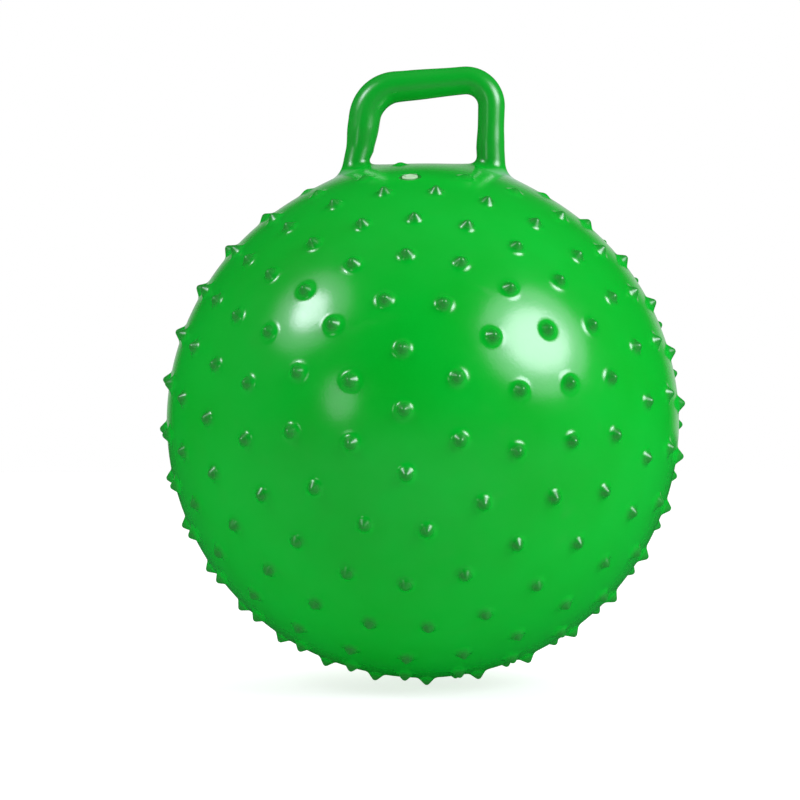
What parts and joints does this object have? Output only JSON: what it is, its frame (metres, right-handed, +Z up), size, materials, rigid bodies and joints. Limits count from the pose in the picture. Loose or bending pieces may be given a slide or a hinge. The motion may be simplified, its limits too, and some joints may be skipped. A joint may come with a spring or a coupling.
{
  "type": "hopper ball",
  "caption": "Knobbly inflated hopper ball with a moulded loop handle and a push-in air valve.",
  "frame": {"origin": "on the floor under the middle of the ball, which stands on its lowest knob", "axes": "+Z up through the middle of the handle, +X along the grip, -Y towards the side with the valve"},
  "size_m": [0.4604, 0.4632, 0.5423],
  "materials": {
    "skin": "satin",
    "handle": "satin",
    "seat": "satin",
    "plug": "satin"
  },
  "bodies": {
    "ball": {"ball_skin": "skin", "handle": "handle", "valve_seat": "seat"},
    "plug": {"valve_plug": "plug"}
  },
  "joints": [
    {"name": "plug_pull", "type": "slide", "parent": "ball", "child": "plug", "axis": [-0.0242, -0.3795, 0.9249], "range_m": [0, 0.024]}
  ]
}
